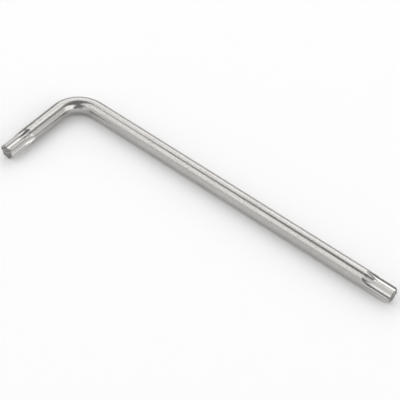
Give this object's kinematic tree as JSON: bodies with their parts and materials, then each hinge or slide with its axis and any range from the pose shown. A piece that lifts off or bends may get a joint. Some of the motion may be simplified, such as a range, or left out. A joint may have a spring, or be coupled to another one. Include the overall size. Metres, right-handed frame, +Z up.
{
  "type": "star key",
  "caption": "L-shaped key of round plated steel wire with a six-lobe star drive formed on the end of each arm, for turning star-recess screws.",
  "frame": {"origin": "under the middle of the key's box, on the surface that the key lies on", "axes": "+X out along the long arm, the short arm runs along -Y, +Z up from the surface"},
  "size_m": [0.1282, 0.036, 0.0058],
  "materials": {
    "plated_steel": "satin nickel plate over drawn wire, with fine draw lines along the arms"
  },
  "bodies": {
    "root": {"short_star_end": "plated_steel", "short_arm": "plated_steel", "bend": "plated_steel", "long_arm": "plated_steel", "long_star_end": "plated_steel"}
  },
  "joints": []
}
